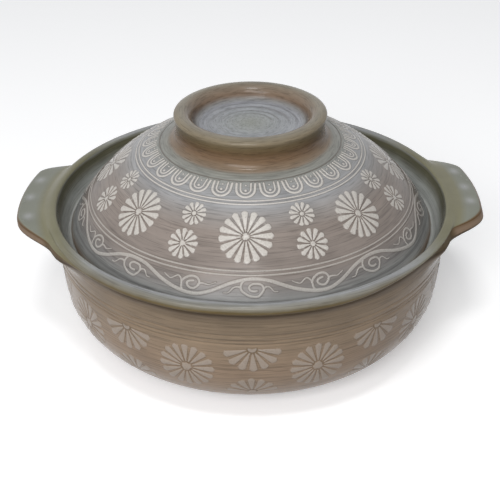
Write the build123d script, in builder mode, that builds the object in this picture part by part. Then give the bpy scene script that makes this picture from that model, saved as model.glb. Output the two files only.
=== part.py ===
from build123d import *
from math import asin, atan2, cos, degrees, hypot, pi, radians, sin, sqrt
import os

os.makedirs("parts", exist_ok=True)

# Covered stoneware cooking pot, millimetres. The origin is the centre of the base on the
# table, +Z is up, +X runs through the right-hand lug and -Y is the front.

# Pot wall, from the outside
rim_radius = 142.0
pot_height = 100.0
lip_overhang = 5.0
lip_height = 5.5
lip_depth = 9.5
lip_round = 2.6
wall = 7.5
wall_taper = 3.6
belly_height = 46.0
heel_inset = 25.0
heel_height = 9.0

# Foot ring and floor
foot_radius = 78.0
foot_width = 9.0
foot_height = 3.5
foot_round = 1.0
floor_thickness = 8.0

# Gallery, the sunk step in the mouth that the lid sits in
rim_width = 6.4
rim_inner_round = 2.0
gallery_run = 13.6
gallery_depth = 18.5
gallery_shoulder_run = 3.5
gallery_shoulder_drop = 11.4
gallery_round = 8.0
cove_round = 2.5
ledge_width = 7.7
ledge_thickness = 6.0
ledge_fairing = 9.5
ledge_round = 1.5

# Turned lines under the rim, measured down from the rim
wall_line_drops = (25.3, 29.5, 32.2)
line_cut = 0.7

# Lugs
lug_reach = 18.8
lug_drop = 1.8
lug_edge = 7.5
lug_root_depth = 17.0
lug_width = 80.0
lug_root_width = 112.0
lug_side_hollow = 4.2
lug_corner_round = 12.0
lug_edge_round = 2.2

# Lid dome
lid_play = 2.0
lid_wall = 7.0
lid_edge_thickness = 2.2
lid_edge_round = 1.4
dome_rise = 60.45
dome_crown_radius = 51.6
dome_top_slope = 7.9
dome_shoulder_slope = 27.6
collar_line_gap = 8.6

# Lid knob, a wide turned ring
knob_foot_radius = 53.2
knob_height = 21.2
knob_radius = 51.5
knob_waist_radius = 50.2
knob_waist_height = 8.4
knob_bulge_height = 17.2
knob_top_round = 3.6
knob_mouth_radius = 41.2
knob_mouth_round = 1.8
knob_floor_radius = 36.1
knob_floor_rise = 10.2
knob_floor_wall = 7.5
knob_hollow_wall = 6.5

# White slip that fills the stamped pattern
slip_gap = 0.05
slip_thickness = 0.45
cut_depth = 9.0

# Arch band round the knob and its two ring lines
arch_count = 28
arch_inner_radius = 62.9
arch_outer_radius = 75.1
arch_turn = 10.1
arch_width = 13.3
arch_inset = 1.2
arch_line = 1.6
inner_arch_line = 1.2
ring_line_radii = (78.2, 76.0)
ring_line_width = 1.1

# Flowers on the lid
large_flower_petals = 16
small_flower_petals = 12
large_flower_circle = 95.8
large_flower_reach = 17.0
large_flower_turns = (-138.8, -92.0, -44.6, 3.0, 46.5, 90.0, 133.0, 176.0)
upper_flower_circle = 86.3
upper_flower_reach = 8.3
upper_flower_turns = (-158.0, -114.3, -68.5, -23.7, 24.5, 68.0, 111.5, 155.0)
lower_flower_circle = 102.0
lower_flower_reach = 10.2
lower_flower_turns = (-160.4, -114.7, -68.1, -20.7, 24.0, 67.5, 111.0, 154.5)

# Border lines and scroll on the lid
border_line_radii = (112.8, 111.1)
border_line_width = 1.0
scroll_periods = 9
scroll_turn = -89.5
vine_steps = 12
vine_crest_radius = 114.5
vine_trough_radius = 121.3
vine_line = 1.5
curl_circle = 118.3
curl_turn = 0.2
curl_radius = 5.4
curl_eye_radius = 1.6
curl_line = 1.1
curl_start = 195
curl_sweep = 465
curl_steps = 12

# Flowers on the pot wall
wall_flower_count = 10
half_flower_petals = 7
full_flower_height = 45.6
full_flower_reach = 18.2
upper_half_height = 64.6
upper_half_reach = 18.4
lower_half_height = 24.4
lower_half_reach = 16.6

# Petal proportions, as shares of the flower's reach or of the pitch between petals
boss_share = 0.2
petal_root_share = 0.12
petal_tip_share = 0.38
petal_root_width_share = 0.3
half_boss_share = 0.16

# Tails of a curl, as shares of its radius
left_tail_shares = ((-2.7, 1.15), (-2.35, 0.75), (-1.8, 0.68), (-1.3, 0.7), (-1.0, 0.2))
right_tail_shares = ((0.6, -0.3), (1.3, -0.05), (2.0, -0.2))


def turned_point(centre, radius, slope):
    """Point on an arc of the section where the surface falls away at the slope."""
    angle = radians(slope)
    return (centre[0] + radius * sin(angle), centre[1] + radius * cos(angle))


def arc_centre(start, end, inward):
    """Centre and radius of the arc that leaves start square to inward and meets end."""
    run, rise = end[0] - start[0], end[1] - start[1]
    radius = (run * run + rise * rise) / 2 / (run * inward[0] + rise * inward[1])
    return (start[0] + radius * inward[0], start[1] + radius * inward[1]), radius


# Heights and radii that follow from the sizes
neck = (rim_radius - lip_overhang, pot_height - lip_depth)
belly = (neck[0] - wall_taper, belly_height)
heel = (belly[0] - heel_inset, heel_height)
wall_lean = atan2(neck[0] - belly[0], neck[1] - belly[1])
wall_normal = (cos(wall_lean), -sin(wall_lean))
belly_centre, belly_arc = arc_centre(belly, heel, (-wall_normal[0], -wall_normal[1]))
ledge_height = pot_height - gallery_depth
gallery_foot = rim_radius - gallery_run
ledge_radius = gallery_foot - ledge_width
lid_radius = gallery_foot - lid_play
lid_edge = (lid_radius, ledge_height + lid_edge_thickness)
knob_seat = lid_edge[1] + dome_rise
knob_floor = knob_seat + knob_floor_rise
slope = radians(dome_top_slope)
crown_centre = (knob_foot_radius - dome_crown_radius * sin(slope),
                knob_seat - dome_crown_radius * cos(slope))
shoulder = turned_point(crown_centre, dome_crown_radius, dome_shoulder_slope)
slope = radians(dome_shoulder_slope)
flank_centre, flank_arc = arc_centre(shoulder, lid_edge, (-sin(slope), -cos(slope)))
edge_slope = degrees(atan2(lid_edge[0] - flank_centre[0], lid_edge[1] - flank_centre[1]))
lug_radius = rim_radius + lug_reach
lug_top = pot_height - lug_drop


def wall_points(lift):
    """Neck, belly, arc middle and heel of the pot wall, moved out square to it."""
    out = (lift * wall_normal[0], lift * wall_normal[1])
    start = atan2(belly[1] - belly_centre[1], belly[0] - belly_centre[0])
    end = atan2(heel[1] - belly_centre[1], heel[0] - belly_centre[0])
    arc = [(belly_centre[0] + (belly_arc + lift) * cos(angle),
            belly_centre[1] + (belly_arc + lift) * sin(angle))
           for angle in (start, (start + end) / 2, end)]
    return [(neck[0] + out[0], neck[1] + out[1])] + arc


def wall_radius(height, lift):
    """Radius of the straight part of the pot wall at a height."""
    upper, lower = wall_points(lift)[0:2]
    return lower[0] + (upper[0] - lower[0]) * (height - lower[1]) / (upper[1] - lower[1])


def dome_points(lift):
    """Top, crown middle, shoulder, flank middle and edge of the dome, moved out."""
    crown = dome_crown_radius + lift
    flank = flank_arc + lift
    return [turned_point(crown_centre, crown, dome_top_slope),
            turned_point(crown_centre, crown, (dome_top_slope + dome_shoulder_slope) / 2),
            turned_point(crown_centre, crown, dome_shoulder_slope),
            turned_point(flank_centre, flank, (dome_shoulder_slope + edge_slope) / 2),
            turned_point(flank_centre, flank, edge_slope)]


def dome_place(radius):
    """Height and slope of the dome at a radius."""
    if radius < shoulder[0]:
        centre, arc = crown_centre, dome_crown_radius
    else:
        centre, arc = flank_centre, flank_arc
    tilt = asin((radius - centre[0]) / arc)
    return centre[1] + arc * cos(tilt), degrees(tilt)


def dome_plane(radius):
    """Plane on the dome, x round the lid and y up the slope towards the knob."""
    height, tilt = dome_place(radius)
    across = radians(tilt)
    return Plane(origin=(radius, 0, height), x_dir=(0, 1, 0),
                 z_dir=(sin(across), 0, cos(across)))


def wall_plane(height, turn):
    """Upright plane on the pot wall, x round the pot and y up."""
    radius = wall_radius(max(height, belly_height), 0)
    along = radians(turn)
    return Plane(origin=(radius * cos(along), radius * sin(along), height),
                 x_dir=(-sin(along), cos(along), 0),
                 z_dir=(cos(along), sin(along), 0))


def draw_wall(lift):
    """Outline of the outside of the wall from the heel up to the neck."""
    upper, start, middle, end = wall_points(lift)
    ThreePointArc(end, middle, start)
    Line(start, upper)


def draw_dome(lift):
    """Outline of the dome from its edge up to the foot of the knob."""
    top, crown, turn, flank, edge = dome_points(lift)
    ThreePointArc(edge, flank, turn)
    ThreePointArc(turn, crown, top)


def draw_petals(count, reach, boss, first, shown):
    """Boss and rounded petals that widen outwards, one face for each."""
    pitch = 2 * pi / count
    root = reach * petal_root_share
    half_root = root * pitch * petal_root_width_share
    tip_radius = reach * pitch * petal_tip_share / (1 + pitch * petal_tip_share)
    tip = reach - tip_radius
    Circle(boss)
    for index in range(shown):
        with Locations(Location((0, 0, 0), (0, 0, first + degrees(pitch) * index))):
            Polygon((root, -half_root), (tip, -tip_radius), (tip, tip_radius),
                    (root, half_root), align=None)
            with Locations((tip, 0)):
                Circle(tip_radius)


def dome_spot(across, up, circle, turn):
    """Plan point of a place on the dome, given round and up the slope from a centre."""
    radius = circle - up * cos(radians(dome_place(circle)[1]))
    angle = radians(turn) + across / radius
    return (radius * cos(angle), radius * sin(angle))


def draw_stroke(points, width, circle, turn):
    """Band of even width on the dome along an odd row of points, drawn in plan."""
    sides = ([], [])
    last = len(points) - 1
    for index, (x, y) in enumerate(points):
        before, after = points[max(index - 1, 0)], points[min(index + 1, last)]
        run, rise = after[0] - before[0], after[1] - before[1]
        length = hypot(run, rise)
        for side, sign in zip(sides, (1, -1)):
            shift = sign * width / 2 / length
            side.append(dome_spot(x - rise * shift, y + run * shift, circle, turn))
    with BuildLine() as outline:
        for side in sides:
            for start in range(0, last, 2):
                ThreePointArc(*side[start:start + 3])
        Line(sides[0][0], sides[1][0])
        Line(sides[0][-1], sides[1][-1])
    make_face(outline.edges())


with BuildPart() as pot_body:
    inner_heel = wall_points(-wall)[3]
    inner_floor = foot_height + floor_thickness
    fairing_foot = ledge_height - ledge_thickness - ledge_fairing
    with BuildSketch(Plane.XZ):
        with BuildLine():
            FilletPolyline((0, foot_height), (foot_radius - foot_width, foot_height),
                           (foot_radius - foot_width, 0), (foot_radius, 0),
                           (foot_radius, foot_height), heel, radius=foot_round)
            draw_wall(0)
            FilletPolyline(
                neck, (rim_radius, pot_height - lip_height), (rim_radius, pot_height),
                (rim_radius - rim_width, pot_height),
                (rim_radius - rim_width - gallery_shoulder_run,
                 pot_height - gallery_shoulder_drop),
                (gallery_foot, ledge_height), (ledge_radius, ledge_height),
                (ledge_radius, ledge_height - ledge_thickness),
                (wall_radius(fairing_foot, -wall), fairing_foot),
                radius=(lip_round, lip_round, rim_inner_round, gallery_round, cove_round,
                        ledge_round, ledge_round))
            inner = wall_points(-wall)
            Line((wall_radius(fairing_foot, -wall), fairing_foot), inner[1])
            ThreePointArc(inner[1], inner[2], inner[3])
            Polyline(inner_heel, (foot_radius, inner_floor), (0, inner_floor),
                     (0, foot_height))
        make_face()
    revolve(axis=Axis.Z)
    with BuildSketch(Plane.XZ):
        for drop in wall_line_drops:
            with Locations((wall_radius(pot_height - drop, 0), pot_height - drop)):
                Circle(line_cut)
    revolve(axis=Axis.Z, mode=Mode.SUBTRACT)
pot_body.part.label = "pot_body"

# Filled outside shape of the pot, which the lugs are fitted round
with BuildPart() as pot_outside:
    with BuildSketch(Plane.XZ):
        with BuildLine():
            draw_wall(0)
            FilletPolyline(neck, (rim_radius, pot_height - lip_height),
                           (rim_radius, pot_height), (0, pot_height),
                           radius=(lip_round, lip_round))
            Polyline((0, pot_height), (0, heel[1]), heel)
        make_face()
    revolve(axis=Axis.Z)

# Ring with the section of a lug, which both lugs are cut from
with BuildPart() as lug_ring:
    lug_inside = neck[0] - wall
    with BuildSketch(Plane.XZ):
        with BuildLine():
            Polyline((lug_inside, lug_top), (lug_radius, lug_top),
                     (lug_radius, lug_top - lug_edge), (lug_inside, lug_top - lug_root_depth),
                     (lug_inside, lug_top))
        make_face()
    revolve(axis=Axis.Z)

corner = (sqrt(lug_radius ** 2 - (lug_width / 2) ** 2), lug_width / 2)
root = (sqrt(rim_radius ** 2 - (lug_root_width / 2) ** 2), lug_root_width / 2)
side = ((corner[0] + root[0]) / 2 - lug_side_hollow,
        (corner[1] + root[1]) / 2 - lug_side_hollow)
for lug_name, lug_turn in (("lug_handle_right", 0), ("lug_handle_left", 180)):
    lug_plane = Plane.XY.offset(lug_top - lug_root_depth).rotated((0, 0, lug_turn))
    with BuildPart() as lug:
        with BuildSketch(lug_plane) as lug_plan:
            with BuildLine():
                ThreePointArc((corner[0], -corner[1]), (lug_radius, 0), corner)
                ThreePointArc(corner, side, root)
                Polyline(root, (lug_inside / 2, root[1]), (lug_inside / 2, -root[1]),
                         (root[0], -root[1]))
                ThreePointArc((root[0], -root[1]), (side[0], -side[1]),
                              (corner[0], -corner[1]))
            make_face()
            corners = lug_plan.vertices().filter_by(lambda point: point.X > side[0])
            fillet(corners, lug_corner_round)
        extrude(amount=lug_root_depth)
        add(lug_ring.part, mode=Mode.INTERSECT)
        edges = lug.faces().sort_by(Axis.Z)[-1].edges()
        fillet(edges.filter_by(lambda edge: edge.length > lug_edge and
                               hypot(edge.center().X, edge.center().Y) > rim_radius),
               lug_edge_round)
        add(pot_outside.part, mode=Mode.SUBTRACT)
    lug.part.label = lug_name
    export_step(lug.part, f"parts/{lug_name}.step")

with BuildPart() as lid_shell:
    seat_reach = sqrt((flank_arc - lid_wall) ** 2 - (ledge_height - flank_centre[1]) ** 2)
    seat_inner = (flank_centre[0] + seat_reach, ledge_height)
    inner_top, inner_crown, inner_shoulder = dome_points(-lid_wall)[0:3]
    seat_slope = atan2(seat_inner[0] - flank_centre[0], seat_inner[1] - flank_centre[1])
    inner_flank = turned_point(flank_centre, flank_arc - lid_wall,
                               (dome_shoulder_slope + degrees(seat_slope)) / 2)
    hollow_radius = knob_floor_radius - knob_hollow_wall
    with BuildSketch(Plane.XZ):
        with BuildLine():
            FilletPolyline(lid_edge, (lid_radius, ledge_height), seat_inner,
                           radius=lid_edge_round)
            ThreePointArc(seat_inner, inner_flank, inner_shoulder)
            ThreePointArc(inner_shoulder, inner_crown, inner_top)
            Polyline(inner_top, (hollow_radius, inner_top[1]),
                     (hollow_radius, knob_floor - knob_floor_wall),
                     (0, knob_floor - knob_floor_wall), (0, knob_floor),
                     (knob_floor_radius, knob_floor), (knob_floor_radius, knob_seat),
                     (knob_foot_radius, knob_seat))
            draw_dome(0)
        make_face()
    revolve(axis=Axis.Z)
    with BuildSketch(Plane.XZ):
        line_radius = knob_foot_radius + collar_line_gap
        with Locations((line_radius, dome_place(line_radius)[0])):
            Circle(line_cut)
    revolve(axis=Axis.Z, mode=Mode.SUBTRACT)
lid_shell.part.label = "lid_shell"

with BuildPart() as lid_knob_ring:
    knob_top = knob_seat + knob_height
    with BuildSketch(Plane.XZ):
        with BuildLine():
            Polyline((knob_floor_radius, knob_floor), (knob_floor_radius, knob_seat),
                     (knob_foot_radius, knob_seat))
            ThreePointArc((knob_foot_radius, knob_seat),
                          (knob_waist_radius, knob_seat + knob_waist_height),
                          (knob_radius, knob_seat + knob_bulge_height))
            FilletPolyline((knob_radius, knob_seat + knob_bulge_height),
                           (knob_radius, knob_top), (knob_mouth_radius, knob_top),
                           (knob_floor_radius, knob_floor),
                           radius=(knob_top_round, knob_mouth_round))
        make_face()
    revolve(axis=Axis.Z)
lid_knob_ring.part.label = "lid_knob_ring"

# Thin skin over the dome that the lid's slip is cut from
with BuildPart() as lid_slip_skin:
    with BuildSketch(Plane.XZ):
        under, over = dome_points(slip_gap), dome_points(slip_gap + slip_thickness)
        with BuildLine():
            draw_dome(slip_gap)
            draw_dome(slip_gap + slip_thickness)
            Line(under[0], over[0])
            Line(under[-1], over[-1])
        make_face()
    revolve(axis=Axis.Z)

# Thin skin over the pot wall that the wall's slip is cut from
with BuildPart() as wall_slip_skin:
    with BuildSketch(Plane.XZ):
        under, over = wall_points(slip_gap), wall_points(slip_gap + slip_thickness)
        with BuildLine():
            draw_wall(slip_gap)
            draw_wall(slip_gap + slip_thickness)
            Line(under[0], over[0])
            Line(under[-1], over[-1])
        make_face()
    revolve(axis=Axis.Z)


def turned_places(turns):
    """Places turned about the upright axis, one for each angle."""
    return [Location((0, 0, 0), (0, 0, turn)) for turn in turns]


def lid_flower(circle, petals, reach):
    """One flower of slip lying on the dome, on the side that the right lug is on."""
    with BuildPart() as flower:
        with BuildSketch(dome_plane(circle)):
            draw_petals(petals, reach, reach * boss_share, 90, petals)
        extrude(amount=cut_depth, both=True)
        add(lid_slip_skin.part, mode=Mode.INTERSECT)
    return flower.part


def wall_flower(height, turn, reach, first, petals, shown, boss):
    """One flower of slip on the pot wall, whole or with only some petals shown."""
    with BuildPart() as flower:
        with BuildSketch(wall_plane(height, turn)):
            draw_petals(petals, reach, reach * boss, first, shown)
        extrude(amount=cut_depth, both=True)
        add(wall_slip_skin.part, mode=Mode.INTERSECT)
    return flower.part


def draw_arch(tip, width, length, line):
    """U-shaped line open towards the knob, with its round end at the tip."""
    bend = tip - width / 2
    straight = length - width / 2
    for across, mode in ((width, Mode.ADD), (width - 2 * line, Mode.SUBTRACT)):
        with Locations((bend, 0)):
            Circle(across / 2, mode=mode)
        with Locations((bend - straight / 2, 0)):
            Rectangle(straight, across, mode=mode)


def vine_share(turn):
    """Place of the vine from crest to trough, round at the crest, pointed at the trough."""
    pointed = 1 - abs(cos(radians(turn * scroll_periods / 2)))
    smooth = (1 - cos(radians(turn * scroll_periods))) / 2
    return (pointed + smooth) / 2


def draw_vine():
    """One period of the vine, from trough to trough."""
    pitch = 360 / scroll_periods
    slope_share = cos(radians(dome_place(curl_circle)[1]))
    points = []
    for index in range(vine_steps + 1):
        turn = pitch * (index / vine_steps - 1 / 2)
        radius = vine_crest_radius
        radius += (vine_trough_radius - vine_crest_radius) * vine_share(turn)
        points.append((radians(turn) * radius, (curl_circle - radius) / slope_share))
    draw_stroke(points, vine_line, curl_circle, scroll_turn)


def draw_curl(turn, rise):
    """Spiral with a small tail on both sides, standing for rise 1, hanging for rise -1."""
    spiral = []
    for index in range(curl_steps + 1):
        share = index / curl_steps
        angle = radians(curl_start - curl_sweep * share)
        radius = curl_radius + (curl_eye_radius - curl_radius) * share
        spiral.append((radius * cos(angle), rise * radius * sin(angle)))
    draw_stroke(spiral, curl_line, curl_circle, turn)
    for shares in (left_tail_shares, right_tail_shares):
        tail = [(x * curl_radius, rise * y * curl_radius) for x, y in shares]
        draw_stroke(tail, curl_line, curl_circle, turn)


# The slip pieces of the lid
large_flower = lid_flower(large_flower_circle, large_flower_petals, large_flower_reach)
with BuildPart() as lid_large_flowers:
    with Locations(*turned_places(large_flower_turns)):
        add(large_flower)
lid_large_flowers.part.label = "lid_large_flowers"

upper_flower = lid_flower(upper_flower_circle, small_flower_petals, upper_flower_reach)
with BuildPart() as lid_small_flowers_upper:
    with Locations(*turned_places(upper_flower_turns)):
        add(upper_flower)
lid_small_flowers_upper.part.label = "lid_small_flowers_upper"

lower_flower = lid_flower(lower_flower_circle, small_flower_petals, lower_flower_reach)
with BuildPart() as lid_small_flowers_lower:
    with Locations(*turned_places(lower_flower_turns)):
        add(lower_flower)
lid_small_flowers_lower.part.label = "lid_small_flowers_lower"

inner_tip = arch_outer_radius - arch_line - arch_inset
inner_width = arch_width - 2 * (arch_line + arch_inset)
with BuildPart() as one_arch:
    with BuildSketch(Plane.XY.offset(ledge_height)):
        draw_arch(arch_outer_radius, arch_width, arch_outer_radius - arch_inner_radius,
                  arch_line)
    with BuildSketch(Plane.XY.offset(ledge_height)):
        draw_arch(inner_tip, inner_width, inner_tip - arch_inner_radius, inner_arch_line)
    extrude(amount=knob_floor - ledge_height)
    add(lid_slip_skin.part, mode=Mode.INTERSECT)
with BuildPart() as lid_arch_band:
    with PolarLocations(0, arch_count, start_angle=arch_turn):
        add(one_arch.part)
lid_arch_band.part.label = "lid_arch_band"

with BuildPart() as lid_ring_lines:
    with BuildSketch(Plane.XY.offset(ledge_height)):
        for radius in ring_line_radii:
            Circle(radius + ring_line_width / 2)
            Circle(radius - ring_line_width / 2, mode=Mode.SUBTRACT)
    extrude(amount=knob_floor - ledge_height)
    add(lid_slip_skin.part, mode=Mode.INTERSECT)
lid_ring_lines.part.label = "lid_ring_lines"

with BuildPart() as lid_border_lines:
    with BuildSketch(Plane.XY.offset(ledge_height)):
        for radius in border_line_radii:
            Circle(radius + border_line_width / 2)
            Circle(radius - border_line_width / 2, mode=Mode.SUBTRACT)
    extrude(amount=knob_floor - ledge_height)
    add(lid_slip_skin.part, mode=Mode.INTERSECT)
lid_border_lines.part.label = "lid_border_lines"

with BuildPart() as one_scroll:
    with BuildSketch(Plane.XY.offset(ledge_height)):
        draw_vine()
        draw_curl(scroll_turn + curl_turn, -1)
        draw_curl(scroll_turn + curl_turn + 180 / scroll_periods, 1)
    extrude(amount=knob_floor - ledge_height)
    add(lid_slip_skin.part, mode=Mode.INTERSECT)
with BuildPart() as lid_scroll:
    with PolarLocations(0, scroll_periods):
        add(one_scroll.part)
lid_scroll.part.label = "lid_scroll"

# The slip pieces of the pot wall
half_pitch = 180 / wall_flower_count
full_flower = wall_flower(full_flower_height, half_pitch - 90, full_flower_reach, 90,
                          large_flower_petals, large_flower_petals, boss_share)
with BuildPart() as pot_full_flowers:
    with PolarLocations(0, wall_flower_count):
        add(full_flower)
pot_full_flowers.part.label = "pot_full_flowers"

petal_pitch = 180 / half_flower_petals
hanging_first = petal_pitch / 2 - 180
upper_half = wall_flower(upper_half_height, -90, upper_half_reach, hanging_first,
                         2 * half_flower_petals, half_flower_petals, half_boss_share)
with BuildPart() as pot_upper_half_flowers:
    with PolarLocations(0, wall_flower_count):
        add(upper_half)
pot_upper_half_flowers.part.label = "pot_upper_half_flowers"

lower_half = wall_flower(lower_half_height, -90, lower_half_reach, petal_pitch / 2,
                         2 * half_flower_petals, half_flower_petals, half_boss_share)
with BuildPart() as pot_lower_half_flowers:
    with PolarLocations(0, wall_flower_count):
        add(lower_half)
pot_lower_half_flowers.part.label = "pot_lower_half_flowers"

for piece in (pot_body, lid_shell, lid_knob_ring, lid_large_flowers,
              lid_small_flowers_upper, lid_small_flowers_lower, lid_arch_band,
              lid_ring_lines, lid_border_lines, lid_scroll,
              pot_full_flowers, pot_upper_half_flowers, pot_lower_half_flowers):
    export_step(piece.part, f"parts/{piece.part.label}.step")
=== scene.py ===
"""Covered stoneware cooking pot: a glazed pot with two lugs, a glazed lid with a ring knob,
and white slip in stamped flowers, arches and scrolls. Lengths are millimetres until a mesh
is made, and s is a length along a turned section, growing from below to the outside and in."""
import bmesh
import bpy
import numpy as np
from mathutils import Matrix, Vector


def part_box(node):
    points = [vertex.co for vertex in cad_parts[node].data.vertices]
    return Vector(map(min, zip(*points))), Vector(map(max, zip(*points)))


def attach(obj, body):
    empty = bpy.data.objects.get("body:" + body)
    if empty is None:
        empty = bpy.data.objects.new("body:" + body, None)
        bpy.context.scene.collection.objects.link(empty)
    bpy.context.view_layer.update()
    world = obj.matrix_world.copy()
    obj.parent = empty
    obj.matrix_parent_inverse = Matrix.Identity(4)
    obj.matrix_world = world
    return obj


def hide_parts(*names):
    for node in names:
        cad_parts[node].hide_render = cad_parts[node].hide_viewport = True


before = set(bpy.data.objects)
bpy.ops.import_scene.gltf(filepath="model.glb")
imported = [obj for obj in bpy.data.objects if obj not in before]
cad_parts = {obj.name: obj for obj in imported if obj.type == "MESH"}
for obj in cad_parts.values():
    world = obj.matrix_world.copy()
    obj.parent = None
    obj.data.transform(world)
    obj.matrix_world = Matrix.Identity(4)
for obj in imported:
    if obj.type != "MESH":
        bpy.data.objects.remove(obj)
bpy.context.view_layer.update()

MM = 0.001

# Sizes read from the frame
pot_high = np.array(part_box("pot_body")[1]) / MM
lid_low, lid_high = (np.array(corner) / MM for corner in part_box("lid_shell"))
knob_low, knob_high = (np.array(corner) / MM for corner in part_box("lid_knob_ring"))
rim_radius, rim_height = pot_high[0], pot_high[2]
lid_radius, seat_height, knob_floor = lid_high[0], lid_low[2], lid_high[2]
knob_foot, knob_seat, knob_top = knob_high[0], knob_low[2], knob_high[2]
lug_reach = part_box("lug_handle_right")[1][0] / MM - rim_radius

# Outline of the pot, with the way through its wall at the heel
foot_radius, foot_width, foot_height, foot_step = 78.0, 9.0, 3.5, 0.6
foot_trims = (1.0, 1.2, 1.2, 0.8)
floor_height, floor_trim = 11.5, 6.0
heel, heel_through = np.array([108.4, 9.0]), np.array([-3.35, 6.71])
belly = np.array([133.4, 46.0])
neck = np.array([rim_radius - 5.0, rim_height - 9.5])
wall, wall_top = 7.5, rim_height - 23.5

# Lines turned into the wall, beyond a radius and above a height. The inside of the wall is out
# that far at the height of the lowest line, so it is marked there too
wall_lines = rim_height - np.array([25.3, 29.5, 32.2])
wall_lines_beyond, wall_lines_above = 125.0, rim_height - 40.0
wall_line_width, wall_line_depth, wall_line_pool = 0.62, 0.4, 0.3

# Rim of the pot, in from its radius and down from its top: edge and shoulder of the lip, the
# crest, the slope inside it, and the ledge that carries the lid
lip_drop, shoulder_drop, crest_in = 5.5, 3.9, 6.4
slope_in, slope_drop, ledge_in = 9.9, 11.4, 13.6
ledge_radius, ledge_depth, bowl_top = 120.7, 6.0, rim_height - 34.0

# The two lugs, pressed on by hand, as (left, right): reach beyond the mean, drop of the top
# below the rim, and where the end's curve starts and stops towards the back and the front, in
# degrees off its middle. Their roots run on under the rim, which they draw out or lift a
# little towards the front
lug_longer, lug_drop = (1.6, -1.4), (3.2, 0.6)
lug_back, lug_front = ((15.0, 14.0), (25.2, 27.6)), ((8.0, 7.6), (24.6, 22.0))
root_back, root_front = ((18.0, 16.0), (30.0, 28.0)), ((27.0, 26.0), (39.0, 37.0))
root_swell, root_height = (5.0, 7.6), rim_height - 18.8
rim_drawn, rim_lifted, rim_calm = (3.4, -1.6), (0.0, 3.6), ((24.0, 34.0), (44.0, 72.0))
lug_edge, lug_shoulder, lug_crest_in, lug_crest_drop = 8.2, 3.0, 3.2, 0.1

# Finger marks on the lugs, left and right, as degrees off the middle and radius
mark_places = (((-9.1, 154.5), (1.0, 156.0), (10.6, 155.6)),
               ((-4.4, 152.7), (3.4, 151.8), (12.6, 152.0)))
mark_depth, mark_width, mark_press, mark_share = 3.2, 4.4, 0.25, 0.8

# Glaze on rim and lugs: where it stops inside, in from the rim's radius and down from its top,
# how it fades in at the lip's edge, and out along the crest in degrees off a lug's middle, the
# share of a lug at which top, side and edge are covered, and the brown line under the edge
glaze_in, glaze_drop, lip_fade, crest_fade = 7.6, 2.0, (-0.1, 0.6), (22.0, 48.0)
full_top, full_side, full_edge, edge_line_below, edge_line_width = 0.25, 0.2, 0.3, 0.3, 0.6

# Section of the lid, with slopes in degrees: the crown of its dome is an arc that falls from
# the top slope at the knob's foot, and shows from the crown slope to the shoulder slope. The
# ceiling is that of the hollow under the knob, and the trims round the inside and the seat
dome_top_slope, dome_shoulder_slope, dome_crown_radius, crown_slope = 7.9, 27.6, 51.6, 14.0
lid_edge = np.array([lid_radius, seat_height + 2.2])
lid_edge_turn = np.array([-0.9, 1.62])
lid_wall, ceiling_wall, ceiling_radius = 7.0, 7.5, 29.6
under_trims, seat_trims, dome_foot = (3.0, 1.5), (0.8, 0.9, 0.5), knob_foot + 1.8

# Turned into the lid: a groove round the knob's foot, ridges inside it, and throwing rings on
# the knob's floor, with the radii over which they start and stop
groove_radius, groove_width, groove_depth, groove_pool = 61.8, 0.5, 0.55, 0.9
ridge_height, ridge_pitch, ridge_starts, ridge_stops = 0.07, 2.4166, (51.0, 54.0), (59.0, 61.0)
throw_height, throw_pitch, throw_drift, throw_share = 0.3, 5.712, 16.982, 0.9
throw_starts, throw_stops = (8.0, 17.0), (31.0, 35.0)

# Knob, as radii and drops below its top: the flare up to its waist, and the lip round its well
flare_places = ((56.6, 21.65), (54.5, 21.05), (52.6, 19.95), (51.2, 18.15), (50.4, 15.55),
                (50.2, 12.75), (50.4, 9.75), (51.0, 6.95), (51.6, 4.95))
lip_places = ((51.8, 2.9), (48.4, 1.2), (43.6, 0.9), (39.6, 4.6))
lip_trims, well_radius = (1.2, 1.8, 2.4, 1.8, 2.6), 37.4

# Steps between rows of points, from where nothing shows to fine marks, and rows of curves
wide_step, under_step, seat_step, row_step, lip_step, fine_step = 9.0, 4.0, 2.5, 2.4, 0.9, 0.3
fine_low, fine_high = rim_height - 33.4, rim_height - 24.0
heel_rows, bowl_rows, flank_rows, crown_rows, curve_rows = 26, 20, 48, 62, 4

# Columns round the pot, fine within the sweep of a lug, and round the lid and its lines
lug_sweep, lug_turn, side_columns, lid_columns, ring_columns = 24.0, 0.45, 105, 320, 360

# Slip: its height, the patch of ground round it that dips into the pot or lid, and where the
# glaze beside it is dark, out from its edge
slip_rise, slip_fade = 0.26, (-0.06, 0.2)
patch_lift, patch_margin, patch_sink = 0.05, 1.0, 0.6
pool_starts, pool_stops, line_pool, dot_pool = (-0.1, 0.1), (0.2, 0.62), 0.6, 0.5

# Stamped petals: shares of the pitch that tip and root take, the gap to the boss as a share of
# the reach, the waver of the edge, how far the slip rounds over, the pooled glaze at the boss
# and what it loses by the tips, a half flower's skirt in radians, and the rows near the tips
petal_tip_share, petal_root_share, petal_gap_share = 0.38, 0.27, 0.07
petal_wavers, petal_round, petal_pools = (0.09, 0.07), 0.8, (1.15, 0.75)
half_skirt, tip_rows = 0.35, 8


def unit(vectors):
    """Vectors at length one."""
    return vectors / np.linalg.norm(vectors, axis=-1, keepdims=True)


def ease(value, low, high):
    """0 below low, 1 above high, and 3t^2 - 2t^3 between."""
    t = np.clip((value - low) / (high - low), 0, 1)
    return t * t * (3 - 2 * t)


def bell(distance, width):
    """1 at no distance, and falling off as e to the minus square of distance over width."""
    return np.exp(-(distance / width) ** 2)


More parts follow.
